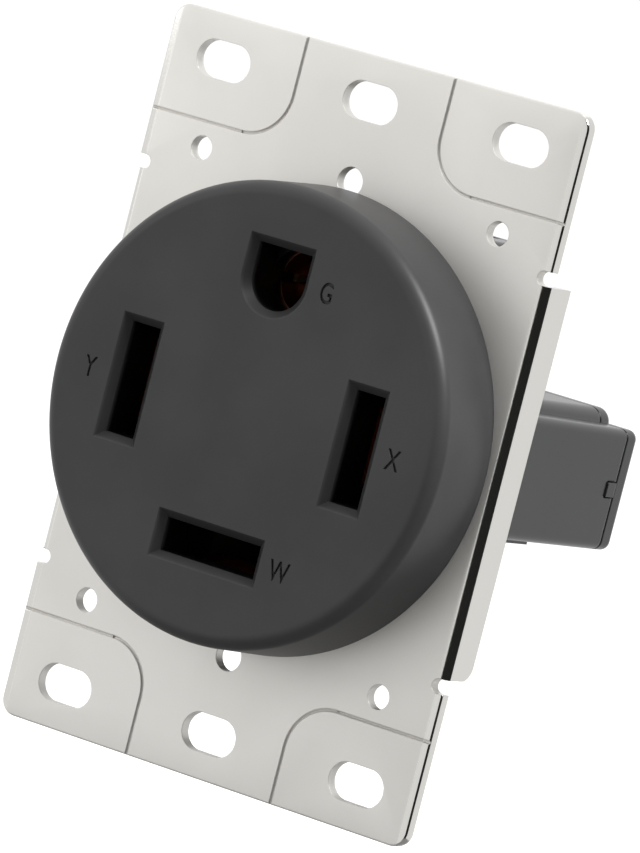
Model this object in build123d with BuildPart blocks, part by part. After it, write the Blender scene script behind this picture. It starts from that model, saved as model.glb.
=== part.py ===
from build123d import *

import math
import os

# Flush receptacle with three straight blade slots and a U-shaped ground slot, on a
# folded steel strap for a two-gang wall box. Sizes are in millimetres.
# +X is to the right seen from the front, +Y goes into the wall and +Z is up.
# The origin is the centre of the strap's rear face, which seats on the wall box.

# Mounting strap
sheet = 1.6
strap_width = 64.0
strap_height = 95.25
strap_corner_r = 2.2
strap_edge_chamfer = 0.25
box_spacing_x = 46.04
box_slot_margin = 5.955
box_slot_length = 8.3
box_slot_width = 5.0
plate_spacing_x = 46.04
plate_spacing_z = 60.33
plate_hole_r = 1.6
centre_hole_z = 31.3
centre_hole_r = 1.9
strap_opening_r = 24.5
flange_half_height = 25.5
flange_reach = 4.2
flange_corner_r = 2.0
bend_outer_r = 1.2
bend_inner_r = 0.4
notch_width = 1.9
notch_depth = 1.9
score_width = 0.6
score_depth = 0.3
score_top_x = 11.4
score_side_z = 33.6
score_bend_r = 6.3
touch = 0.01

# Front cover
cover_base_r = 30.2
cover_height = 11.7
cover_draft = 2.3
cover_edge_r = 2.0
cover_wall = 2.6
cover_face_thickness = 3.5
slot_bevel = 1.02
blade_slot_width = 4.3
blade_slot_length = 14.5
blade_offset = 17.46
ground_slot_r = 4.03
ground_offset = 17.6
throat_wall = 1.5
cover_gap = 0.1

# Contact carrier, between the cover and the rear body
spigot_height = 7.3
spigot_gap = 0.3
front_web = 2.0

# Rear body
seam_depth = 31.2
base_r = 27.0
base_depth = 6.0
arm_side_gap = 0.4
arm_top = 8.95
arm_bottom = 7.4
arm_top_rear = 8.45
arm_bottom_rear = 7.6
arm_corner_r = 1.3
shoulder_reach = 25.5
shoulder_top = 10.3
shoulder_bottom = 7.9
shoulder_top_rear = 10.15
shoulder_bottom_rear = 7.6
shoulder_corner_r = 2.0
foot_drop = 0.5
foot_depth = 15.5
foot_step = 1.5
column_half_width = 9.4
column_reach = 27.9
column_reach_rear = 27.6
core_half = 13.2
core_corner_r = 2.0
pocket_gap = 0.2
seam_groove = 0.3
seam_inset = 0.25

# Contacts, their backing springs and rivets
contact_sheet = 1.0
contact_width = 10.4
contact_tip_depth = -5.0
contact_pinch_depth = -2.0
contact_seat_depth = 12.0
contact_flare = 3.1
contact_pinch = 1.9
contact_root = 3.3
leaf_straight_depth = 6.0
leaf_bend_r = 1.2
blade_cavity_gap = 0.35
backing_sheet = 0.6
spring_width = 6.0
spring_gap = 0.1
spring_bend_r = 0.9
sleeve_r = 3.7
sleeve_wall = 0.9
sleeve_lip = 0.5
sleeve_slit = 1.2
ring_wire = 0.8
ring_depth = -1.2
ring_gap = 0.05
ring_slit = 3.0
rivet_r = 1.5
rivet_head_r = 2.3
rivet_head_height = 0.8
rivet_chamfer = 0.3

# Box-shaped terminal lugs with their clamps
lug_offset = 20.0
lug_width = 12.5
lug_length = 10.0
lug_front_wall = 2.0
lug_side_wall = 1.75
lug_rear_wall = 2.8
lug_edge_r = 0.6
wire_space = 6.0
clamp_rest_gap = 0.6
clamp_thickness = 1.5
clamp_side_gap = 0.2
clamp_groove = 0.5
clamp_groove_pitch = 2.2
screw_r = 3.12
screw_length = 8.4
screw_thread_gap = 0.06
screw_chamfer = 0.5
screw_slot_width = 1.2
screw_slot_depth = 2.0

# Back cover
back_thickness = 3.1
back_edge_r = 1.0
access_r = 4.0
lug_hold_gap = 0.05
tab_centre_z = 0.55
tab_height = 1.9
tab_reach = 2.1
tab_depth = 1.0
tab_proud = 0.2
tab_gap = 0.15

# Assembly screws, from the back cover to the front cover
assembly_offset = 9.5
assembly_r = 1.95
assembly_clear = 0.2
assembly_pilot_gap = 0.05
assembly_boss_wall = 1.5
assembly_head_r = 3.3
assembly_head_height = 1.7
assembly_head_chamfer = 0.5
assembly_sink = 1.3
assembly_tip = 2.5
assembly_pilot_skin = 2.0
recess_depth = 1.0
recess_width = 1.0

# Ground bonding strip
bond_start_x = -4.5
bond_heel_x = 5.0
bond_heel_z = 15.6
bond_low_z = 20.0
bond_top_z = 24.0
bond_fold_x = 12.4
bond_foot_end_x = 20.4
bond_channel_gap = 0.4
bond_screw_x = 17.4
bond_screw_r = 1.45
bond_screw_head_r = 2.2
bond_screw_head_height = 1.6
bond_screw_chamfer = 0.4
bond_hole_gap = 0.05

# Places that follow from the sizes above
box_spacing_z = strap_height - 2 * box_slot_margin
notch_end_x = strap_width / 2 - notch_depth
arm_reach = strap_width / 2 - sheet - arm_side_gap
cover_face = -(sheet + cover_height)
cover_underside = cover_face + cover_face_thickness
spigot_face = -spigot_height
throat_end = spigot_face - cover_gap
spring_seat = contact_seat_depth + contact_sheet
lug_front = spring_seat + backing_sheet
wire_front = lug_front + lug_front_wall
clamp_front = wire_front + wire_space
clamp_rear = clamp_front + clamp_thickness
lug_rear_inner = clamp_rear + clamp_rest_gap
lug_rear = lug_rear_inner + lug_rear_wall
back_face = seam_depth + back_thickness
pocket_half_width = contact_width / 2 + pocket_gap
contact_half_span = contact_root + contact_sheet / 2 + spring_gap + backing_sheet
ring_r = sleeve_r + sleeve_wall + ring_gap + ring_wire / 2
bond_screw_z = (bond_low_z + bond_top_z) / 2

# Direction from the middle of the face to each contact, by terminal letter
stations = {"x": (1, 0), "y": (-1, 0), "w": (0, -1), "g": (0, 1)}
assembly_places = [
    (sx * assembly_offset, sz * assembly_offset) for sx in (-1, 1) for sz in (-1, 1)
]

os.makedirs("parts", exist_ok=True)


def save(piece, label):
    piece.part.label = label
    export_step(piece.part, f"parts/{label}.step")


def across(way, radius, depth):
    """Plane square to Y at a station, its local x pointing outwards."""
    centre = (way[0] * radius, depth, way[1] * radius)
    return Plane(origin=centre, x_dir=(way[0], 0, way[1]), z_dir=(0, 1, 0))


def lengthwise(way, radius):
    """Plane through a station, its local x pointing outwards and local y rearwards."""
    outwards = Vector(way[0], 0, way[1])
    centre = (way[0] * radius, 0, way[1] * radius)
    return Plane(origin=centre, x_dir=outwards, z_dir=outwards.cross(Vector(0, 1, 0)))


def at_depth(depth):
    """Plane square to Y with local x along +X and local y along +Z, facing the front."""
    return Plane(origin=(0, depth, 0), x_dir=(1, 0, 0), z_dir=(0, -1, 0))


def slot_offset(letter):
    """Distance of a slot's centre from the middle of the face."""
    return ground_offset if letter == "g" else blade_offset


def ground_outline(grow=0.0):
    """Ground slot: round at the bottom, straight sides and a flat top."""
    radius = ground_slot_r + grow
    with Locations((0, ground_offset)):
        Circle(radius)
        Rectangle(2 * radius, radius, align=(Align.CENTER, Align.MIN))


def seam_outline():
    """Outline of the housing where the back cover meets it."""
    with Locations((0, (arm_top_rear - arm_bottom_rear) / 2)):
        RectangleRounded(2 * arm_reach, arm_top_rear + arm_bottom_rear, arm_corner_r)
    with Locations((0, (shoulder_top_rear - shoulder_bottom_rear) / 2)):
        RectangleRounded(
            2 * shoulder_reach, shoulder_top_rear + shoulder_bottom_rear, shoulder_corner_r
        )
    RectangleRounded(2 * column_half_width, 2 * column_reach_rear, arm_corner_r)
    RectangleRounded(2 * core_half, 2 * core_half, core_corner_r)


def tapered_bar(reach, top, bottom, reach_rear, top_rear, bottom_rear, corner):
    """Bar of the housing that narrows from the strap towards the seam."""
    with BuildSketch(at_depth(0)) as front:
        with Locations((0, (top - bottom) / 2)):
            RectangleRounded(2 * reach, top + bottom, corner)
    with BuildSketch(at_depth(seam_depth)) as rear:
        with Locations((0, (top_rear - bottom_rear) / 2)):
            RectangleRounded(2 * reach_rear, top_rear + bottom_rear, corner)
    loft(sections=[front.sketch, rear.sketch])


# Mounting strap: blanked steel with its two sides folded back between the notches
with BuildPart() as mounting_strap:
    with BuildSketch(at_depth(0)):
        RectangleRounded(strap_width, strap_height, strap_corner_r)
        Circle(strap_opening_r, mode=Mode.SUBTRACT)
        with GridLocations(box_spacing_x, box_spacing_z, 2, 2):
            SlotOverall(box_slot_length, box_slot_width, mode=Mode.SUBTRACT)
        with GridLocations(0, box_spacing_z, 1, 2):
            SlotOverall(box_slot_length, box_slot_width, mode=Mode.SUBTRACT)
        with GridLocations(plate_spacing_x, plate_spacing_z, 2, 2):
            Circle(plate_hole_r, mode=Mode.SUBTRACT)
        with GridLocations(0, 2 * centre_hole_z, 1, 2):
            Circle(centre_hole_r, mode=Mode.SUBTRACT)
    extrude(amount=sheet)
    front_edges = mounting_strap.faces().sort_by(Axis.Y)[0].outer_wire().edges()
    chamfer(front_edges, strap_edge_chamfer)
    # Notches that free each folded side from the ears above and below it
    notch_z = flange_half_height + notch_width / 2
    notch_length = strap_width / 2 - notch_end_x + notch_width
    with BuildSketch(at_depth(0)):
        with GridLocations(2 * (notch_end_x - notch_width / 2 + notch_length), 2 * notch_z, 2, 2):
            SlotOverall(2 * notch_length, notch_width)
    extrude(amount=sheet, mode=Mode.SUBTRACT)
    for side in (-1, 1):
        # Square off the chamfered edge where the sheet is folded instead
        with BuildSketch(Plane.YZ.offset(side * strap_width / 2)) as fold:
            with Locations((-sheet, 0)):
                Rectangle(
                    sheet + flange_reach, 2 * flange_half_height, align=(Align.MIN, Align.CENTER)
                )
            rear_corners = fold.vertices().group_by(Axis.X)[-1]
            fillet(rear_corners.sort_by(Axis.Y)[:1], flange_corner_r)
        extrude(amount=-side * sheet)
    upright = mounting_strap.edges().filter_by(Axis.Z)
    bends = upright.filter_by(lambda e: abs(abs(e.center().X) - strap_width / 2) < touch)
    bends = bends.filter_by(lambda e: abs(e.center().Y + sheet) < touch)
    fillet(bends, bend_outer_r)
    upright = mounting_strap.edges().filter_by(Axis.Z)
    folds = upright.filter_by(lambda e: abs(abs(e.center().X) - strap_width / 2 + sheet) < touch)
    fillet(folds.filter_by(lambda e: abs(e.center().Y) < touch), bend_inner_r)
    # Scored lines along which each corner ear can be broken off
    with BuildSketch(at_depth(-sheet)):
        with BuildLine():
            Polyline(
                (score_top_x, strap_height / 2 + score_width),
                (score_top_x, score_side_z + score_bend_r),
            )
            RadiusArc(
                (score_top_x, score_side_z + score_bend_r),
                (score_top_x + score_bend_r, score_side_z),
                -score_bend_r,
            )
            Polyline(
                (score_top_x + score_bend_r, score_side_z),
                (strap_width / 2 + score_width, score_side_z),
            )
        trace(line_width=score_width)
        mirror(about=Plane.YZ)
        mirror(about=Plane.XZ)
    extrude(amount=-score_depth, mode=Mode.SUBTRACT)
    # Hole for the bonding screw, under the cover's skirt
    with BuildSketch(at_depth(0)):
        with Locations((bond_screw_x, bond_screw_z)):
            Circle(bond_screw_r + bond_hole_gap)
    extrude(amount=sheet, mode=Mode.SUBTRACT)
save(mounting_strap, "mounting_strap")


# Front cover: a moulded cap with a throat behind each slot and four screw bosses
cover_face_r = cover_base_r - cover_height * math.tan(math.radians(cover_draft))
with BuildPart() as front_cover:
    with BuildSketch(Plane.XY) as section:
        with BuildLine():
            Polyline(
                (0, cover_face),
                (cover_face_r, cover_face),
                (cover_base_r, -sheet),
                (cover_base_r - cover_wall, -sheet),
                (cover_face_r - cover_wall, cover_underside),
                (0, cover_underside),
                close=True,
            )
        make_face()
        rim = section.vertices().sort_by(Axis.Y).group_by(Axis.Y)[0].sort_by(Axis.X)[-1]
        fillet(rim, cover_edge_r)
    revolve(axis=Axis.Y)
    with BuildSketch(at_depth(throat_end)):
        for letter, way in stations.items():
            if letter == "g":
                ground_outline(throat_wall)
            else:
                with Locations((way[0] * blade_offset, way[1] * blade_offset)):
                    tall = abs(way[0])
                    Rectangle(
                        (blade_slot_width if tall else blade_slot_length) + 2 * throat_wall,
                        (blade_slot_length if tall else blade_slot_width) + 2 * throat_wall,
                    )
        with Locations(*assembly_places):
            Circle(assembly_r + assembly_boss_wall)
    extrude(amount=throat_end - cover_underside)
    with BuildSketch(at_depth(throat_end)):
        for letter, way in stations.items():
            if letter == "g":
                ground_outline()
            else:
                with Locations((way[0] * blade_offset, way[1] * blade_offset)):
                    tall = abs(way[0])
                    Rectangle(
                        blade_slot_width if tall else blade_slot_length,
                        blade_slot_length if tall else blade_slot_width,
                    )
    extrude(amount=throat_end - cover_face, mode=Mode.SUBTRACT)
    mouths = front_cover.faces().sort_by(Axis.Y)[0].inner_wires().edges()
    chamfer(mouths, slot_bevel)
    with BuildSketch(at_depth(throat_end)):
        with Locations(*assembly_places):
            Circle(assembly_r + assembly_pilot_gap)
    extrude(amount=throat_end - cover_face - assembly_pilot_skin, mode=Mode.SUBTRACT)
save(front_cover, "front_cover")


def pocket_outline(letter):
    """Outline of the pocket for a contact, or for the ground sleeve and its spring."""
    if letter == "g":
        Circle(ring_r + ring_wire / 2 + pocket_gap)
    else:
        Rectangle(2 * (contact_half_span + pocket_gap), 2 * pocket_half_width)


# Contact carrier: moulded disc in the strap's opening, with a way in for each blade
with BuildPart() as contact_carrier:
    with BuildSketch(at_depth(0)):
        Circle(strap_opening_r - spigot_gap)
    extrude(amount=spigot_height)
    for letter, way in stations.items():
        with BuildSketch(across(way, slot_offset(letter), spigot_face)):
            if letter == "g":
                Circle(ground_slot_r + blade_cavity_gap)
            else:
                Rectangle(
                    blade_slot_width + 2 * blade_cavity_gap,
                    blade_slot_length + 2 * blade_cavity_gap,
                )
        extrude(amount=spigot_height, mode=Mode.SUBTRACT)
        with BuildSketch(across(way, slot_offset(letter), spigot_face + front_web)):
            pocket_outline(letter)
        extrude(amount=spigot_height - front_web, mode=Mode.SUBTRACT)
    with BuildSketch(at_depth(0)):
        with Locations(*assembly_places):
            Circle(assembly_r + assembly_clear)
    extrude(amount=spigot_height, mode=Mode.SUBTRACT)
save(contact_carrier, "contact_carrier")


# Rear body: moulded block that clamps the strap, with a pocket right through it for each
# contact and its terminal
with BuildPart() as rear_body:
    with BuildSketch(at_depth(base_depth)):
        Circle(base_r)
    extrude(amount=base_depth)
    tapered_bar(
        arm_reach, arm_top, arm_bottom,
        arm_reach, arm_top_rear, arm_bottom_rear, arm_corner_r,
    )
    tapered_bar(
        shoulder_reach, shoulder_top, shoulder_bottom,
        shoulder_reach, shoulder_top_rear, shoulder_bottom_rear, shoulder_corner_r,
    )
    tapered_bar(
        column_half_width, column_reach, column_reach,
        column_half_width, column_reach_rear, column_reach_rear, arm_corner_r,
    )
    tapered_bar(
        core_half, core_half, core_half,
        core_half, core_half, core_half, core_corner_r,
    )
    # Foot under each arm, next to the strap
    with BuildSketch(at_depth(foot_depth)):
        with Locations((0, -arm_bottom - foot_drop)):
            Rectangle(2 * (arm_reach - foot_step), 2 * foot_drop, align=(Align.CENTER, Align.MIN))
    extrude(amount=foot_depth)
    for letter, way in stations.items():
        # Pocket for the contact, open to the front, and room for the blade's edges
        with BuildSketch(across(way, slot_offset(letter), 0)):
            pocket_outline(letter)
        extrude(amount=seam_depth, mode=Mode.SUBTRACT)
        if letter != "g":
            with BuildSketch(across(way, blade_offset, 0)):
                Rectangle(
                    blade_slot_width + 2 * blade_cavity_gap,
                    blade_slot_length + 2 * blade_cavity_gap,
                )
            extrude(amount=contact_seat_depth, mode=Mode.SUBTRACT)
        # Pocket for the terminal lug, behind a shoulder that it seats on
        with BuildSketch(at_depth(seam_depth)):
            with Locations((way[0] * lug_offset, way[1] * lug_offset)):
                Rectangle(lug_width + 2 * pocket_gap, lug_length + 2 * pocket_gap)
        extrude(amount=seam_depth - lug_front, mode=Mode.SUBTRACT)
        # Seat for the contact's base in front of the lug
        with BuildSketch(across(way, slot_offset(letter), contact_seat_depth)):
            Rectangle(2 * (contact_half_span + pocket_gap), 2 * pocket_half_width)
        extrude(amount=lug_front - contact_seat_depth, mode=Mode.SUBTRACT)
        # Wire entry, an open-ended notch from below for all but the ground terminal
        side = Align.MIN if letter == "g" else Align.MAX
        with BuildSketch(at_depth(seam_depth)):
            with Locations((way[0] * lug_offset, way[1] * lug_offset)):
                Rectangle(lug_width - 2 * lug_side_wall, lug_length, align=(Align.CENTER, side))
        extrude(amount=seam_depth - wire_front, mode=Mode.SUBTRACT)
    # Holes for the assembly screws
    with BuildSketch(at_depth(seam_depth)):
        with Locations(*assembly_places):
            Circle(assembly_r + assembly_clear)
    extrude(amount=seam_depth, mode=Mode.SUBTRACT)
    # Channel for the bonding strip through the base and the column's wall
    with BuildSketch(at_depth(base_depth)):
        channel_x = bond_fold_x - backing_sheet / 2 - bond_channel_gap
        channel_height = 2 * (bond_screw_head_r + bond_channel_gap)
        with Locations((channel_x, bond_screw_z)):
            Rectangle(base_r, channel_height, align=(Align.MIN, Align.CENTER))
    extrude(amount=base_depth, mode=Mode.SUBTRACT)
    with BuildSketch(at_depth(spring_seat + backing_sheet + bond_channel_gap)):
        channel_start_x = bond_start_x - bond_channel_gap
        with Locations((channel_start_x, bond_screw_z)):
            Rectangle(
                bond_fold_x + backing_sheet + bond_channel_gap - channel_start_x,
                bond_top_z - bond_low_z + 2 * bond_channel_gap,
                align=(Align.MIN, Align.CENTER),
            )
    extrude(amount=backing_sheet + 2 * bond_channel_gap, mode=Mode.SUBTRACT)
    # Notches for the snap tabs of the back cover
    with BuildSketch(at_depth(seam_depth)):
        with Locations((-arm_reach, tab_centre_z), (arm_reach, tab_centre_z)):
            Rectangle(2 * (tab_depth + tab_gap), tab_height + 2 * tab_gap)
    extrude(amount=tab_reach + tab_gap, mode=Mode.SUBTRACT)
save(rear_body, "rear_body")


# Back cover: a plate with rounded edges, a boss to hold each lug and two snap tabs
with BuildPart() as back_cover:
    with BuildSketch(at_depth(back_face)):
        seam_outline()
    extrude(amount=back_thickness - seam_groove)
    fillet(back_cover.faces().sort_by(Axis.Y)[-1].edges(), back_edge_r)
    # Stepped-in foot of the plate, which leaves a groove along the seam
    with BuildSketch(at_depth(seam_depth + seam_groove)):
        seam_outline()
        offset(amount=-seam_inset)
    extrude(amount=seam_groove)
    with BuildSketch(at_depth(seam_depth)):
        for way in stations.values():
            with Locations((way[0] * lug_offset, way[1] * lug_offset)):
                Rectangle(lug_width, lug_length)
    extrude(amount=seam_depth - lug_rear - lug_hold_gap)
    with BuildSketch(at_depth(back_face)):
        for way in stations.values():
            with Locations((way[0] * lug_offset, way[1] * lug_offset)):
                Circle(access_r)
    extrude(amount=back_face - lug_rear, mode=Mode.SUBTRACT)
    with BuildSketch(at_depth(seam_depth)):
        with Locations((0, tab_centre_z)):
            Rectangle(2 * (arm_reach + tab_proud), tab_height)
            Rectangle(2 * (arm_reach - tab_depth), tab_height, mode=Mode.SUBTRACT)
    extrude(amount=tab_reach)
    with BuildSketch(at_depth(back_face)):
        with Locations(*assembly_places):
            Circle(assembly_r + assembly_clear)
    extrude(amount=back_thickness, mode=Mode.SUBTRACT)
    with BuildSketch(at_depth(back_face)):
        with Locations(*assembly_places):
            Circle(assembly_head_r + assembly_clear)
    extrude(amount=assembly_sink, mode=Mode.SUBTRACT)
save(back_cover, "back_cover")


# Blade contacts: one folded strip each, two leaves that pinch the blade
for letter, way in stations.items():
    if letter == "g":
        continue
    with BuildPart() as contact:
        with BuildSketch(lengthwise(way, blade_offset)):
            with BuildLine():
                base_line = contact_seat_depth + contact_sheet / 2
                FilletPolyline(
                    (-contact_flare, contact_tip_depth),
                    (-contact_pinch, contact_pinch_depth),
                    (-contact_root, leaf_straight_depth),
                    (-contact_root, base_line),
                    (contact_root, base_line),
                    (contact_root, leaf_straight_depth),
                    (contact_pinch, contact_pinch_depth),
                    (contact_flare, contact_tip_depth),
                    radius=leaf_bend_r,
                )
            trace(line_width=contact_sheet)
        extrude(amount=contact_width / 2, both=True)
        with BuildSketch(across(way, blade_offset, contact_seat_depth)):
            Circle(rivet_r)
        extrude(amount=contact_sheet, mode=Mode.SUBTRACT)
    save(contact, f"contact_{letter}")

    # Backing spring: a U of hard steel strip around the contact's leaves
    with BuildPart() as contact_spring:
        with BuildSketch(lengthwise(way, blade_offset)):
            with BuildLine():
                base_line = spring_seat + backing_sheet / 2
                stand_off = contact_sheet / 2 + spring_gap + backing_sheet / 2
                FilletPolyline(
                    (-contact_pinch - stand_off, contact_pinch_depth + stand_off / 2),
                    (-contact_root - stand_off, leaf_straight_depth),
                    (-contact_root - stand_off, base_line),
                    (contact_root + stand_off, base_line),
                    (contact_root + stand_off, leaf_straight_depth),
                    (contact_pinch + stand_off, contact_pinch_depth + stand_off / 2),
                    radius=spring_bend_r,
                )
            trace(line_width=backing_sheet)
        extrude(amount=spring_width / 2, both=True)
        with BuildSketch(across(way, blade_offset, spring_seat)):
            Circle(rivet_r)
        extrude(amount=backing_sheet, mode=Mode.SUBTRACT)
    save(contact_spring, f"contact_spring_{letter}")


# Ground contact: a slit sleeve with a belled mouth on a flat base
with BuildPart() as contact_g:
    with BuildSketch(Plane.XY):
        with BuildLine():
            Polyline(
                (sleeve_r, contact_seat_depth),
                (sleeve_r, contact_pinch_depth),
                (sleeve_r + sleeve_lip, contact_tip_depth),
                (sleeve_r + sleeve_lip + sleeve_wall, contact_tip_depth),
                (sleeve_r + sleeve_wall, contact_pinch_depth),
                (sleeve_r + sleeve_wall, contact_seat_depth),
                close=True,
            )
        make_face()
    revolve(axis=Axis.Y)
    with BuildSketch(at_depth(leaf_straight_depth)):
        Rectangle(sleeve_slit, 4 * sleeve_r)
        Rectangle(4 * sleeve_r, sleeve_slit)
    extrude(amount=leaf_straight_depth - contact_tip_depth, mode=Mode.SUBTRACT)
    with BuildSketch(at_depth(spring_seat)):
        Rectangle(contact_width, 2 * (contact_root + contact_sheet / 2))
        Circle(rivet_r, mode=Mode.SUBTRACT)
    extrude(amount=contact_sheet)
contact_g.part = contact_g.part.moved(Location((0, 0, ground_offset)))
save(contact_g, "contact_g")

# Ground spring: an open ring of square wire that closes the sleeve on the pin
with BuildPart() as contact_spring_g:
    with BuildSketch(Plane.XY):
        with Locations((ring_r, ring_depth)):
            Rectangle(ring_wire, ring_wire)
    revolve(axis=Axis.Y)
    with BuildSketch(at_depth(ring_depth + ring_wire)):
        with Locations((0, ring_r)):
            Rectangle(ring_slit, 2 * ring_r)
    extrude(amount=2 * ring_wire, mode=Mode.SUBTRACT)
contact_spring_g.part = contact_spring_g.part.moved(Location((0, 0, ground_offset)))
save(contact_spring_g, "contact_spring_g")


for letter, way in stations.items():
    centre = (way[0] * lug_offset, way[1] * lug_offset)
    rivet_centre = (way[0] * slot_offset(letter), way[1] * slot_offset(letter))

    # Rivet: holds contact and spring to the lug, flush inside the wire space
    with BuildPart() as contact_rivet:
        with BuildSketch(at_depth(wire_front)):
            with Locations(rivet_centre):
                Circle(rivet_r)
        extrude(amount=wire_front - contact_seat_depth)
        with BuildSketch(at_depth(contact_seat_depth)):
            with Locations(rivet_centre):
                Circle(rivet_head_r)
        extrude(amount=rivet_head_height)
        chamfer(contact_rivet.edges().sort_by(Axis.Y)[0], rivet_chamfer)
    save(contact_rivet, f"contact_rivet_{letter}")

    # Terminal lug: a box of plated brass, open at both ends for the wire
    with BuildPart() as terminal_lug:
        with BuildSketch(Plane.XY.offset(centre[1] - lug_length / 2)) as frame:
            with Locations((centre[0], (lug_front + lug_rear) / 2)):
                RectangleRounded(lug_width, lug_rear - lug_front, lug_edge_r)
            with Locations((centre[0], (wire_front + lug_rear_inner) / 2)):
                Rectangle(
                    lug_width - 2 * lug_side_wall,
                    lug_rear_inner - wire_front,
                    mode=Mode.SUBTRACT,
                )
        extrude(amount=lug_length)
        with BuildSketch(at_depth(lug_rear)):
            with Locations(centre):
                Circle(screw_r + screw_thread_gap)
        extrude(amount=lug_rear_wall, mode=Mode.SUBTRACT)
        with BuildSketch(at_depth(wire_front)):
            with Locations(rivet_centre):
                Circle(rivet_r)
        extrude(amount=lug_front_wall, mode=Mode.SUBTRACT)
    save(terminal_lug, f"terminal_lug_{letter}")

    # Clamp plate: presses the wire against the front wall of the lug
    with BuildPart() as clamp_plate:
        with BuildSketch(at_depth(clamp_rear)):
            with Locations(centre):
                Rectangle(lug_width - 2 * (lug_side_wall + clamp_side_gap), lug_length)
        extrude(amount=clamp_thickness)
        # Grooves across the wire, so that it can't pull out
        with BuildSketch(Plane.YZ.offset(centre[0])):
            with Locations((clamp_front, centre[1])):
                with GridLocations(0, clamp_groove_pitch, 1, 3):
                    Rectangle(clamp_groove * math.sqrt(2), clamp_groove * math.sqrt(2), rotation=45)
        extrude(amount=lug_width / 2, both=True, mode=Mode.SUBTRACT)
    save(clamp_plate, f"clamp_plate_{letter}")

    # Clamp screw: headless, with a driver slot in its rear end
    with BuildPart() as clamp_screw:
        with BuildSketch(at_depth(clamp_rear + screw_length)):
            with Locations(centre):
                Circle(screw_r)
        extrude(amount=screw_length)
        chamfer(clamp_screw.edges().filter_by(GeomType.CIRCLE), screw_chamfer)
        with BuildSketch(at_depth(clamp_rear + screw_length)):
            with Locations(centre):
                Rectangle(screw_slot_width, 2 * screw_r)
        extrude(amount=screw_slot_depth, mode=Mode.SUBTRACT)
    save(clamp_screw, f"clamp_screw_{letter}")


# Assembly screws: pan heads sunk in the back cover, threads in the front cover
for number, place in enumerate(assembly_places, start=1):
    head_seat = back_face - assembly_sink
    with BuildPart() as assembly_screw:
        with BuildSketch(at_depth(head_seat)):
            with Locations(place):
                Circle(assembly_r)
        extrude(amount=head_seat - throat_end + assembly_tip)
        with BuildSketch(at_depth(head_seat + assembly_head_height)):
            with Locations(place):
                Circle(assembly_head_r)
        extrude(amount=assembly_head_height)
        rear_edge = assembly_screw.edges().group_by(Axis.Y)[-1]
        chamfer(rear_edge, assembly_head_chamfer)
        with BuildSketch(at_depth(head_seat + assembly_head_height)):
            with Locations(place):
                Rectangle(2 * assembly_head_r, recess_width)
        extrude(amount=recess_depth, mode=Mode.SUBTRACT)
    save(assembly_screw, f"assembly_screw_{number}")


# Bonding strip: folded from the ground contact's base down to the strap
with BuildPart() as ground_bond:
    with BuildSketch(Plane.XY.offset(bond_heel_z)):
        with BuildLine():
            FilletPolyline(
                (bond_start_x, spring_seat + backing_sheet / 2),
                (bond_fold_x, spring_seat + backing_sheet / 2),
                (bond_fold_x, backing_sheet / 2),
                (bond_foot_end_x, backing_sheet / 2),
                radius=backing_sheet,
            )
        trace(line_width=backing_sheet)
    extrude(amount=bond_top_z - bond_heel_z)
    # Only the heel under the rivet is wide, the rest is a narrow strip
    with BuildSketch(at_depth(lug_front)):
        with Locations((bond_heel_x, bond_heel_z)):
            Rectangle(
                bond_foot_end_x, bond_low_z - bond_heel_z, align=(Align.MIN, Align.MIN)
            )
        with Locations((0, ground_offset)):
            Circle(rivet_r)
    extrude(amount=lug_front, mode=Mode.SUBTRACT)
    with BuildSketch(at_depth(backing_sheet)):
        with Locations((bond_screw_x, bond_screw_z)):
            Circle(bond_screw_r + bond_hole_gap)
    extrude(amount=backing_sheet, mode=Mode.SUBTRACT)
save(ground_bond, "ground_bond")

with BuildPart() as bond_screw:
    with BuildSketch(at_depth(backing_sheet)):
        with Locations((bond_screw_x, bond_screw_z)):
            Circle(bond_screw_r)
    extrude(amount=backing_sheet + sheet)
    with BuildSketch(at_depth(backing_sheet + bond_screw_head_height)):
        with Locations((bond_screw_x, bond_screw_z)):
            Circle(bond_screw_head_r)
    extrude(amount=bond_screw_head_height)
    chamfer(bond_screw.edges().group_by(Axis.Y)[-1], bond_screw_chamfer)
    with BuildSketch(at_depth(backing_sheet + bond_screw_head_height)):
        with Locations((bond_screw_x, bond_screw_z)):
            Rectangle(2 * bond_screw_head_r, recess_width)
    extrude(amount=recess_depth, mode=Mode.SUBTRACT)
save(bond_screw, "bond_screw")
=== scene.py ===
import math

import bpy
from mathutils import Matrix, Vector


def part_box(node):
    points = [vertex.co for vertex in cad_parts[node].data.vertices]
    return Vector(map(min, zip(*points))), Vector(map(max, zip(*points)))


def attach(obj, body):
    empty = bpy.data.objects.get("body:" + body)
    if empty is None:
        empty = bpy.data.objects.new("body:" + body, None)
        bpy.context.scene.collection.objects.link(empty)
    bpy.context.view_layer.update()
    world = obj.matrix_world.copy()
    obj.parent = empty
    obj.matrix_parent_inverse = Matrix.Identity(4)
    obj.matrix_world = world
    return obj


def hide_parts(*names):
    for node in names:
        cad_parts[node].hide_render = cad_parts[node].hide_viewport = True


# Flush power receptacle on a folded steel strap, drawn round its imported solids.
# Metres, +X to the right seen from the front, +Y into the wall and +Z up.
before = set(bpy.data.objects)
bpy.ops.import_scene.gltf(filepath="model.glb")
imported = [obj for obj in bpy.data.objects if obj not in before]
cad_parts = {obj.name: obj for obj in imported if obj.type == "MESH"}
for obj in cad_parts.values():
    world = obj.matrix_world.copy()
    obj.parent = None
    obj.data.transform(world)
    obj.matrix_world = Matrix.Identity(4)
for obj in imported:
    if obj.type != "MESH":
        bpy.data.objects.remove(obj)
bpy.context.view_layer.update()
MM = 0.001


# Mounting strap: one sheet of zinc-plated steel, blanked with its slots and holes. The
# sides between the notches are folded back, and scored lines let the corner ears break
# off. Its sheared edges are bright, with a soft roll on the front side.
def alone(piece):
    """Makes the piece the only selected and active object."""
    bpy.ops.object.select_all(action="DESELECT")
    piece.select_set(True)
    bpy.context.view_layer.objects.active = piece


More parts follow.
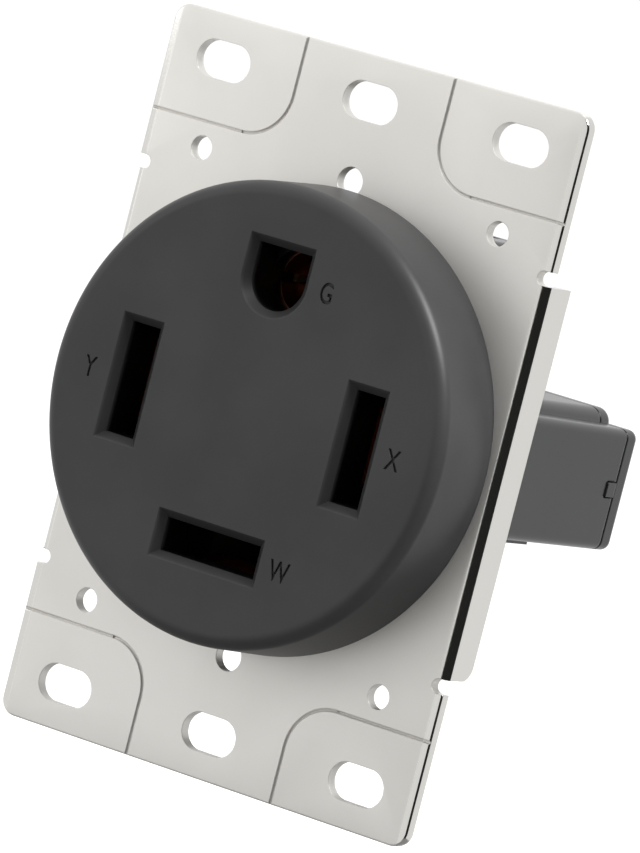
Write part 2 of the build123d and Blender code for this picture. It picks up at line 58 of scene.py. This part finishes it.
def settle(piece, name):
    """Names the piece and puts its place, turn and size into its mesh."""
    alone(piece)
    bpy.ops.object.transform_apply(location=True, rotation=True, scale=True)
    piece.name = name
    return piece


def block(low, high, name="block"):
    """Cube primitive between two corners."""
    low, high = Vector(low), Vector(high)
    bpy.ops.object.select_all(action="DESELECT")
    bpy.ops.mesh.primitive_cube_add(size=1, location=(low + high) / 2)
    bpy.context.object.scale = high - low
    return settle(bpy.context.object, name)


def drum(centre, radius, front, rear, vertices=96, name="drum"):
    """Cylinder primitive along Y, from its front to its rear depth."""
    bpy.ops.object.select_all(action="DESELECT")
    bpy.ops.mesh.primitive_cylinder_add(
        vertices=vertices, radius=radius, depth=rear - front,
        location=(centre[0], (front + rear) / 2, centre[1]), rotation=(math.pi / 2, 0, 0),
    )
    return settle(bpy.context.object, name)


def pick(piece, kind, test):
    """Enters edit mode with only those vertices, edges or faces selected that pass the test."""
    alone(piece)
    bpy.ops.object.mode_set(mode="EDIT")
    bpy.ops.mesh.select_mode(type={"vertices": "VERT", "edges": "EDGE", "polygons": "FACE"}[kind])
    bpy.ops.mesh.select_all(action="DESELECT")
    bpy.ops.object.mode_set(mode="OBJECT")
    mesh = piece.data
    for item in getattr(mesh, kind):
        if kind == "vertices":
            item.select = test(item.co)
        elif kind == "edges":
            ends = [mesh.vertices[v].co for v in item.vertices]
            item.select = test(*ends)
        else:
            item.select = test(item.center, item.normal)
    bpy.ops.object.mode_set(mode="EDIT")


def leave():
    """Leaves edit mode."""
    bpy.ops.object.mode_set(mode="OBJECT")


def close_up(piece):
    """Merges doubled vertices and turns the faces outwards."""
    pick(piece, "polygons", lambda centre, normal: True)
    bpy.ops.mesh.remove_doubles(threshold=weld)
    bpy.ops.mesh.normals_make_consistent(inside=False)
    leave()


def combine(piece, tool, operation):
    """Boolean of the piece with a tool, which is used up."""
    cut = piece.modifiers.new("combine", "BOOLEAN")
    cut.operation = operation
    cut.solver = "EXACT"
    cut.object = tool
    alone(piece)
    bpy.ops.object.modifier_apply(modifier=cut.name)
    bpy.data.objects.remove(tool)


def stadium(centre, length, width, front, rear):
    """Round-ended slot tool along X: a cylinder whose halves are pulled apart."""
    tool = drum(centre, width / 2, front, rear, vertices=64)
    for side in (-1, 1):
        pick(tool, "vertices", lambda co: side * (co.x - centre[0]) > weld)
        bpy.ops.transform.translate(value=(side * (length - width) / 2, 0, 0))
        leave()
    return tool


class Value:
    """A shader socket with Python arithmetic, each step a Math node."""

    def __init__(self, finish, socket):
        self.finish = finish
        self.socket = socket

    def math(self, operation, first, second):
        return self.finish.add("ShaderNodeMath", {"operation": operation}, {0: first, 1: second})

    def __add__(self, other):
        return self.math("ADD", self, other)

    def __sub__(self, other):
        return self.math("SUBTRACT", self, other)

    def __rsub__(self, other):
        return self.math("SUBTRACT", other, self)

    def __mul__(self, other):
        return self.math("MULTIPLY", self, other)

    __radd__ = __add__
    __rmul__ = __mul__


class Finish:
    """A node material: fixed numbers on the shader's sockets, patterns by linked nodes."""

    def __init__(self, name, **fixed):
        self.material = bpy.data.materials.new(name)
        self.material.use_nodes = True
        self.tree = self.material.node_tree
        self.shader = self.tree.nodes["Principled BSDF"]
        for socket, value in fixed.items():
            self.shader.inputs[socket.replace("_", " ").title()].default_value = value

    def feed(self, socket, value):
        """Links a value to a socket, or sets a plain number or colour on it."""
        if isinstance(value, Value):
            self.tree.links.new(value.socket, socket)
        elif socket.type == "RGBA":
            socket.default_value = (*value, 1)
        else:
            socket.default_value = value

    def add(self, kind, settings=None, sockets=None, output=0):
        """Any node: its settings first, then the values or links of its sockets."""
        node = self.tree.nodes.new(kind)
        for key, value in (settings or {}).items():
            setattr(node, key, value)
        for key, value in (sockets or {}).items():
            self.feed(node.inputs[key], value)
        return Value(self, node.outputs[output])

    def noise(self, scale, detail=3.0, stretch=(1, 1, 1)):
        """Noise from 0 to 1 on the piece's own coordinates, in waves per metre."""
        place = self.add("ShaderNodeTexCoord", output=3)
        turned = self.add("ShaderNodeMapping", None, {"Vector": place, "Scale": stretch})
        return self.add(
            "ShaderNodeTexNoise", None, {"Vector": turned, "Scale": scale, "Detail": detail}
        )

    def ramp(self, value, low, high):
        """Smooth step of a value between two levels."""
        return self.add(
            "ShaderNodeMapRange", {"interpolation_type": "SMOOTHSTEP"},
            {"Value": value, "From Min": low, "From Max": high},
        )

    def tint(self, factor, first, second):
        """Blend of two colours, plain or patterned."""
        return self.add(
            "ShaderNodeMix", {"data_type": "RGBA"},
            {0: factor, 6: first, 7: second}, output=2,
        )

    def set(self, **linked):
        """Patterns for the shader's sockets, each named as its socket is."""
        for socket, value in linked.items():
            self.feed(self.shader.inputs[socket.replace("_", " ").title()], value)

    def bump(self, height, distance, strength=1.0, edge=0.0):
        """Relief from a pattern, over edges that look rounded by the given radius."""
        sockets = {"Height": height, "Distance": distance, "Strength": strength}
        if edge:
            sockets["Normal"] = self.add("ShaderNodeBevel", {"samples": 6}, {"Radius": edge})
        self.set(normal=self.add("ShaderNodeBump", None, sockets))


def dress(piece, finish):
    """Gives a piece its only material."""
    piece.data.materials.clear()
    piece.data.materials.append(finish.material)


strap_low, strap_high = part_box("mounting_strap")
strap_front = strap_low.y
strap_back = 0.0
sheet = strap_back - strap_front
strap_half = strap_high.x
strap_corner = 2.2 * MM
# Standard spacings of the box screws and the cover plate's screws
box_x, box_z = 46.04 * MM / 2, 83.34 * MM / 2
plate_z = 60.33 * MM / 2
slot_length, slot_width = 8.3 * MM, 5.0 * MM
plate_hole, centre_hole, centre_hole_z = 1.6 * MM, 1.9 * MM, 31.3 * MM
opening_r = 24.5 * MM
notch_low, notch_high, notch_end = 25.5 * MM, 27.4 * MM, 30.1 * MM
fold_outer, flange_corner = 1.2 * MM, 2.0 * MM
score_x, score_z, score_turn = 11.4 * MM, 33.6 * MM, 6.3 * MM
score_depth, edge_roll = 0.24 * MM, 0.25 * MM
polish_start, polish_end = 30.7 * MM, 31.3 * MM
# A cut's overshoot, a margin for finding edges by place, and the span of doubled vertices
through, margin, weld = 2 * MM, MM / 10, MM / 1000

strap = block(
    (strap_low.x, strap_front, strap_low.z), (strap_high.x, strap_back, strap_high.z),
    "strap_sheet",
)
pick(strap, "edges", lambda a, b: abs(a.y - b.y) > sheet / 2)
bpy.ops.mesh.bevel(offset=strap_corner, segments=12)
leave()
pick(strap, "edges", lambda a, b: max(a.y, b.y) < strap_front + sheet / 2)
bpy.ops.mesh.bevel(offset=edge_roll, segments=4)
leave()
front_of_cut, rear_of_cut = strap_front - through, strap_back + through
combine(strap, drum((0, 0), opening_r, front_of_cut, rear_of_cut, 192), "DIFFERENCE")
for x in (-box_x, 0, box_x):
    for z in (-box_z, box_z):
        tool = stadium((x, z), slot_length, slot_width, front_of_cut, rear_of_cut)
        combine(strap, tool, "DIFFERENCE")
for x, z, radius in [
    (sx * box_x, sz * plate_z, plate_hole) for sx in (-1, 1) for sz in (-1, 1)
] + [(0, sz * centre_hole_z, centre_hole) for sz in (-1, 1)]:
    combine(strap, drum((x, z), radius, front_of_cut, rear_of_cut, 48), "DIFFERENCE")
for side in (-1, 1):
    for end in (-1, 1):
        notch_r = (notch_high - notch_low) / 2
        reach = strap_half - notch_end + 2 * notch_r
        centre = (side * (notch_end + reach), end * (notch_low + notch_r))
        tool = stadium(centre, 2 * reach, 2 * notch_r, front_of_cut, rear_of_cut)
        combine(strap, tool, "DIFFERENCE")


def between(first, second):
    """Low and high end of a stretch whose ends are given in either order."""
    return min(first, second), max(first, second)


for side in (-1, 1):
    # The folded side replaces the flat edge between its two notches
    low_x, high_x = between(side * (strap_half - sheet), side * (strap_half + through))
    combine(
        strap,
        block((low_x, front_of_cut, -notch_low), (high_x, rear_of_cut, notch_low)),
        "DIFFERENCE",
    )
    low_x, high_x = between(side * (strap_half - sheet), side * strap_half)
    flange = block((low_x, strap_front, -notch_low), (high_x, strap_high.y, notch_low))
    pick(
        flange, "edges",
        lambda a, b: max(a.y, b.y) < strap_front + margin
        and min(a.x * side, b.x * side) > strap_half - margin,
    )
    bpy.ops.mesh.bevel(offset=fold_outer, segments=10)
    leave()
    pick(
        flange, "edges",
        lambda a, b: min(a.y, b.y) > strap_back and abs(a.x - b.x) > margin and max(a.z, b.z) < 0,
    )
    bpy.ops.mesh.bevel(offset=flange_corner, segments=8)
    leave()
    combine(strap, flange, "UNION")


def score_tools(side, end):
    """Scored line round a corner ear: a square on its corner, spun, and two straight bars."""
    turn = Vector((side * (score_x + score_turn), strap_front, end * (score_z + score_turn)))
    bpy.ops.object.select_all(action="DESELECT")
    bpy.ops.mesh.primitive_circle_add(
        vertices=4, radius=score_depth, fill_type="NGON",
        location=(side * score_x, strap_front, turn.z),
    )
    bend = settle(bpy.context.object, "score")
    pick(bend, "polygons", lambda centre, normal: True)
    bpy.ops.mesh.spin(steps=24, angle=-side * end * math.pi / 2, center=turn, axis=(0, -1, 0))
    leave()
    close_up(bend)
    bars = []
    for low, high, quarter in (
        ((side * score_x, turn.z), (side * score_x, end * past_end), (0, 0, 0)),
        ((turn.x, end * score_z), (side * past_side, end * score_z), (0, math.pi / 2, 0)),
    ):
        length = abs(high[0] - low[0]) + abs(high[1] - low[1])
        bpy.ops.object.select_all(action="DESELECT")
        bpy.ops.mesh.primitive_cylinder_add(
            vertices=4, radius=score_depth, depth=length, rotation=quarter,
            location=((low[0] + high[0]) / 2, strap_front, (low[1] + high[1]) / 2),
        )
        bars.append(settle(bpy.context.object, "score_bar"))
    return bend, *bars


past_end, past_side = strap_high.z + MM, strap_half + MM
for side in (-1, 1):
    for end in (-1, 1):
        for tool in score_tools(side, end):
            combine(strap, tool, "DIFFERENCE")
alone(strap)
bpy.ops.object.shade_smooth_by_angle(angle=math.radians(35))

plated = Finish("plated_steel")
cloud = plated.noise(38, 4)
rolled = plated.noise(260, 5, stretch=(1, 1, 0.05))
speck = plated.noise(2600, 2)
# The die has polished the folded sides
spot = plated.add("ShaderNodeTexCoord", output=3)
across = plated.add("ShaderNodeSeparateXYZ", None, {0: spot})
across = plated.add("ShaderNodeMath", {"operation": "ABSOLUTE"}, {0: across})
polish = plated.ramp(across, polish_start, polish_end)
plated.set(
    base_color=plated.tint(
        polish,
        plated.tint(plated.ramp(cloud, 0.3, 0.7), (0.71, 0.695, 0.66), (0.77, 0.755, 0.72)),
        (0.65, 0.64, 0.61),
    ),
    metallic=0.8 + 0.2 * polish,
    roughness=0.42 + 0.06 * cloud + 0.05 * rolled - 0.36 * polish,
)
plated.bump(rolled * 0.6 + speck * 0.4, 0.01 * MM, 0.35, edge=0.14 * MM)
dress(strap, plated)
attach(strap, "root")
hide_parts("mounting_strap")


# Front cover: black thermoset moulding, a shallow cap with a rounded rim. The four slots
# have a bevelled mouth and a square throat that runs on behind the face. The terminal
# letters are sunk into the face beside their slots.
cover_low, cover_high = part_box("front_cover")
cover_face, cover_foot = cover_low.y, strap_front
cover_r = cover_high.x
cover_draft = math.tan(math.radians(2.3))
face_r = cover_r - (cover_foot - cover_face) * cover_draft
cover_wall, face_thickness, rim_r = 2.6 * MM, 3.5 * MM, 1.9 * MM
blade_offset, ground_offset = 17.46 * MM, 17.6 * MM
throat_end = -7.4 * MM
blade_width, blade_length = 4.3 * MM, 14.5 * MM
mouth_bevel = 1.02 * MM
ground_r = 4.03 * MM
throat_wall = 1.5 * MM

cover = drum((0, 0), cover_r, cover_face, cover_foot, vertices=256, name="cover_moulding")
pick(cover, "polygons", lambda centre, normal: normal.y < -0.9)
bpy.ops.transform.resize(value=(face_r / cover_r, 1, face_r / cover_r))
leave()
pick(cover, "edges", lambda a, b: max(a.y, b.y) < cover_face + margin)
bpy.ops.mesh.bevel(offset=rim_r, segments=12)
leave()
hollow = drum(
    (0, 0), cover_r - cover_wall, cover_face + face_thickness, cover_foot + through, 192
)
combine(cover, hollow, "DIFFERENCE")


def ground_tool(grow, front, rear):
    """Outline of the ground slot as a solid: round below, straight sides and a flat top."""
    radius = ground_r + grow
    tool = drum((0, ground_offset), radius, front, rear, vertices=64)
    top = block((-radius, front, ground_offset), (radius, rear, ground_offset + radius))
    combine(tool, top, "UNION")
    return tool


def blade_halves(way, grow):
    """Half width and height of a blade slot, upright at the sides and level below."""
    along, over = blade_length / 2 + grow, blade_width / 2 + grow
    return (over, along) if way[0] else (along, over)


def blade_tool(way, grow, front, rear):
    """Outline of a blade slot as a block."""
    half_x, half_z = blade_halves(way, grow)
    x, z = way[0] * blade_offset, way[1] * blade_offset
    return block((x - half_x, front, z - half_z), (x + half_x, rear, z + half_z))


def open_mouth(tool, centre, half_x, half_z):
    """Extends a slot tool through the face with sides that flare at 45 degrees."""
    low = min(v.co.y for v in tool.data.vertices)
    reach = low - cover_face + through
    pick(tool, "polygons", lambda middle, normal: middle.y < low + weld)
    bpy.ops.mesh.extrude_region_move(TRANSFORM_OT_translate={"value": (0, -reach, 0)})
    bpy.ops.transform.resize(
        value=((half_x + reach) / half_x, 1, (half_z + reach) / half_z),
        center_override=(centre[0], low - reach, centre[1]),
    )
    leave()
    return tool


blade_ways = ((1, 0), (-1, 0), (0, -1))
inside_face = cover_face + face_thickness - MM / 2
mouth_floor, past_throat = cover_face + mouth_bevel, throat_end + through
for way in blade_ways:
    combine(cover, blade_tool(way, throat_wall, inside_face, throat_end), "UNION")
combine(cover, ground_tool(throat_wall, inside_face, throat_end), "UNION")
for way in blade_ways:
    tool = blade_tool(way, 0, mouth_floor, past_throat)
    open_mouth(tool, (way[0] * blade_offset, way[1] * blade_offset), *blade_halves(way, 0))
    combine(cover, tool, "DIFFERENCE")
tool = ground_tool(0, mouth_floor, past_throat)
combine(cover, open_mouth(tool, (0, ground_offset), ground_r, ground_r), "DIFFERENCE")
screw_offset, screw_boss, screw_pilot = 9.5 * MM, 3.45 * MM, 2.0 * MM
pilot_floor = inside_face - MM
for sx in (-1, 1):
    for sz in (-1, 1):
        place = (sx * screw_offset, sz * screw_offset)
        combine(cover, drum(place, screw_boss, inside_face, throat_end, 48), "UNION")
        combine(cover, drum(place, screw_pilot, pilot_floor, past_throat, 48), "DIFFERENCE")
letter_height, letter_squeeze, letter_depth = 2.65 * MM, 0.74, 0.35 * MM
# A capital's share of the font's size, and what is added to a stroke for each unit of height
capital_share, stroke_gain = 0.7, 0.015
letter_places = {
    "Y": (-23.7 * MM, 0.0), "X": (23.4 * MM, 0.0),
    "W": (11.3 * MM, -17.7 * MM), "G": (8.0 * MM, 17.6 * MM),
}
for letter, (x, z) in letter_places.items():
    bpy.ops.object.select_all(action="DESELECT")
    bpy.ops.object.text_add(location=(x, cover_face, z), rotation=(math.pi / 2, 0, 0))
    text = bpy.context.object
    text.data.body = letter
    text.data.align_x = "CENTER"
    text.data.align_y = "CENTER"
    text.data.size = letter_height / capital_share
    text.data.offset = letter_height * stroke_gain
    text.data.extrude = letter_depth
    text.scale.x = letter_squeeze
    bpy.ops.object.convert(target="MESH")
    tool = settle(bpy.context.object, "letter")
    close_up(tool)
    combine(cover, tool, "DIFFERENCE")
alone(cover)
bpy.ops.object.shade_smooth_by_angle(angle=math.radians(30))

moulded = Finish("cover_moulding")
moulded.shader.inputs["Specular IOR Level"].default_value = 0.28
grain = moulded.noise(5200, 3)
flow = moulded.noise(60, 4)
spot = moulded.add("ShaderNodeTexCoord", output=3)
depth = moulded.add("ShaderNodeSeparateXYZ", None, {0: spot}, output=1)
flat = moulded.add("ShaderNodeVectorMath", {"operation": "MULTIPLY"}, {0: spot, 1: (1, 0, 1)})
radius = moulded.add("ShaderNodeVectorMath", {"operation": "LENGTH"}, {0: flat}, output=1)
# Painted shade: darker in the letters and the slots' mouths, and black behind the face, where
# shade falls in these recesses
sunk = moulded.ramp(depth, cover_face, cover_face + letter_depth)
inside = 0.35 * sunk + 0.65 * moulded.ramp(depth, mouth_floor, mouth_floor + mouth_bevel)
inside = inside * (1 - moulded.ramp(radius, cover_r - 2 * cover_wall, cover_r - cover_wall))
outer = moulded.tint(moulded.ramp(flow, 0.3, 0.7), (0.036, 0.036, 0.037), (0.046, 0.046, 0.047))
moulded.set(
    # The recess mask blends the painted shade colour into the moulding's own tone
    base_color=moulded.tint(inside, outer, (0.003, 0.003, 0.003)),
    roughness=0.34 + 0.06 * flow + 0.05 * grain,
)
moulded.bump(grain, 0.015 * MM, 0.5, edge=0.15 * MM)
dress(cover, moulded)
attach(cover, "root")
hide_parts("front_cover")


# Contact carrier: the disc behind the face, seen only through the slots. It takes the cover's
# material, whose painted shade behind the face makes it near black.
dress(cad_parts["contact_carrier"], moulded)


# Rear body and back cover: dark grey thermoset mouldings behind the strap. The body holds
# the contacts in its four arms, and the back cover closes it with a seam all round.
housing = Finish("body_moulding")
housing.shader.inputs["Specular IOR Level"].default_value = 0.42
pitting = housing.noise(3400, 4)
patch = housing.noise(45, 3)
housing.set(
    base_color=housing.tint(
        housing.ramp(patch, 0.3, 0.7), (0.016, 0.016, 0.017), (0.021, 0.021, 0.022)
    ),
    roughness=0.22 + 0.08 * patch,
)
housing.bump(pitting, 0.015 * MM, 0.5, edge=0.4 * MM)
for node in ("rear_body", "back_cover"):
    dress(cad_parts[node], housing)


# Contacts and bonding strip: copper alloy strip, folded on a press, a little dulled.
copper = Finish("contact_copper", metallic=1.0)
dull = copper.noise(180, 4)
copper.set(
    base_color=copper.tint(dull, (0.34, 0.13, 0.07), (0.50, 0.24, 0.14)),
    roughness=0.3 + 0.15 * dull,
)
copper.bump(dull, 0.01 * MM, 0.3, edge=0.1 * MM)
terminals = "xywg"
for letter in terminals:
    dress(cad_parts[f"contact_{letter}"], copper)
dress(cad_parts["ground_bond"], copper)


# Springs behind the contacts: hard blue-grey steel strip and wire with a film of oil.
spring = Finish("spring_steel", metallic=1.0)
oil = spring.noise(140, 4)
spring.set(
    base_color=spring.tint(oil, (0.22, 0.23, 0.26), (0.36, 0.37, 0.40)),
    roughness=0.28 + 0.12 * oil,
)
for letter in terminals:
    dress(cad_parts[f"contact_spring_{letter}"], spring)


# Terminal lugs and rivets: brass, tumbled after sawing from an extruded bar.
brass = Finish("lug_brass", metallic=1.0)
tumble = brass.noise(420, 4)
brass.set(
    base_color=brass.tint(tumble, (0.62, 0.47, 0.22), (0.74, 0.58, 0.30)),
    roughness=0.3 + 0.14 * tumble,
)
brass.bump(tumble, 0.02 * MM, 0.3)
for letter in terminals:
    dress(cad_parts[f"terminal_lug_{letter}"], brass)
    dress(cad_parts[f"contact_rivet_{letter}"], brass)


# Screws and clamp plates: zinc-plated steel, turned or pressed.
screwed = Finish("screw_steel", metallic=1.0)
turned = screwed.noise(900, 3)
screwed.set(
    base_color=screwed.tint(turned, (0.56, 0.56, 0.55), (0.68, 0.67, 0.65)),
    roughness=0.26 + 0.12 * turned,
)
for letter in terminals:
    dress(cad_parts[f"clamp_screw_{letter}"], screwed)
    dress(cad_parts[f"clamp_plate_{letter}"], plated)
for number in range(1, 5):
    dress(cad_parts[f"assembly_screw_{number}"], screwed)
dress(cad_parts["bond_screw"], screwed)


# Floor and light: a white paper floor below the part, a white room, a soft lamp from the
# left and a strong one from the upper right, and cards that the camera doesn't see.
def sheet_at(height, size, name):
    """Square level plane under the part."""
    bpy.ops.object.select_all(action="DESELECT")
    bpy.ops.mesh.primitive_plane_add(size=size, location=(0, 0, height))
    return settle(bpy.context.object, name)


floor_z = strap_low.z - 60 * MM
floor_size, card_gap = 30, 10 * MM
floor = sheet_at(floor_z, floor_size, "floor")
paper = Finish("paper", roughness=0.9, emission_strength=1.0)
fibre = paper.noise(300, 3)
# A faint glow that the camera alone sees keeps the paper white, under the part's shadow
paper.set(
    base_color=paper.tint(fibre, (0.86, 0.86, 0.86), (0.9, 0.9, 0.9)),
    emission_color=paper.tint(
        paper.add("ShaderNodeLightPath", output=0), (0, 0, 0), (0.15, 0.15, 0.15)
    ),
)
dress(floor, paper)

world = bpy.data.worlds.new("studio")
bpy.context.scene.world = world
world.use_nodes = True
sky = world.node_tree.nodes["Background"]
sky.inputs["Color"].default_value = (1, 1, 1, 1)
sky.inputs["Strength"].default_value = 1.0


def lamp(name, place, size, power):
    """Square soft lamp that faces the part."""
    bpy.ops.object.light_add(type="AREA", location=place)
    light = bpy.context.object
    light.name = name
    light.data.size = size
    light.data.energy = power
    light.rotation_euler = (-Vector(place)).to_track_quat("-Z", "Y").to_euler()


lamp("key", place=(-0.95, -0.7, 0.25), size=0.5, power=0.9)
lamp("top", place=(0.75, -0.02, 0.95), size=0.5, power=18)

grey = Finish("card_grey", roughness=0.9, emission_strength=1.0)
nap = grey.noise(40, 2)
grey.set(
    base_color=grey.tint(nap, (0.01, 0.01, 0.01), (0.02, 0.02, 0.02)),
    emission_color=grey.tint(nap, (0.28, 0.28, 0.28), (0.32, 0.32, 0.32)),
)
black = Finish("card_black", roughness=0.9)
nap = black.noise(40, 2)
black.set(base_color=black.tint(nap, (0.008, 0.008, 0.008), (0.012, 0.012, 0.012)))

# Grey cards under the floor keep the undersides dark: a wide one for soft light and a
# small one for reflections. The floor itself is seen by the camera alone.
for name, size in (("card_below", 6), ("card_near", 0.24)):
    card = sheet_at(floor_z - card_gap, size, name)
    card.visible_camera = False
    card.visible_shadow = False
    card.visible_diffuse = name == "card_below"
    card.visible_glossy = name == "card_near"
    dress(card, grey)
floor.visible_diffuse = False
floor.visible_glossy = False

# The black card stands in an arc from the front round to the right
arc_radius, arc_height = 0.42, 0.7
arc_start, arc_end = math.radians(4), math.radians(132)
bpy.ops.object.select_all(action="DESELECT")
bpy.ops.mesh.primitive_cylinder_add(
    vertices=72, radius=arc_radius, depth=arc_height, end_fill_type="NOTHING"
)
arc = settle(bpy.context.object, "card_arc")
pick(
    arc, "polygons",
    lambda centre, normal: not arc_start < math.atan2(centre.x, -centre.y) < arc_end,
)
bpy.ops.mesh.delete(type="FACE")
leave()
for sight in ("visible_camera", "visible_diffuse", "visible_shadow", "visible_transmission"):
    setattr(arc, sight, False)
dress(arc, black)

# The camera stands where a fit to the strap's holes puts the photograph's
view = bpy.data.cameras.new("view")
view.sensor_width = 36
view.lens = 320.08
view.clip_start = 0.05
camera = bpy.data.objects.new("camera", view)
bpy.context.scene.collection.objects.link(camera)
camera.matrix_world = Matrix((
    (0.8146, -0.2542, 0.5214, 0.50677),
    (0.5247, -0.0603, -0.8492, -0.81926),
    (0.2473, 0.9653, 0.0842, 0.08145),
    (0, 0, 0, 1),
))
bpy.context.scene.camera = camera
bpy.context.scene.view_settings.view_transform = "Standard"
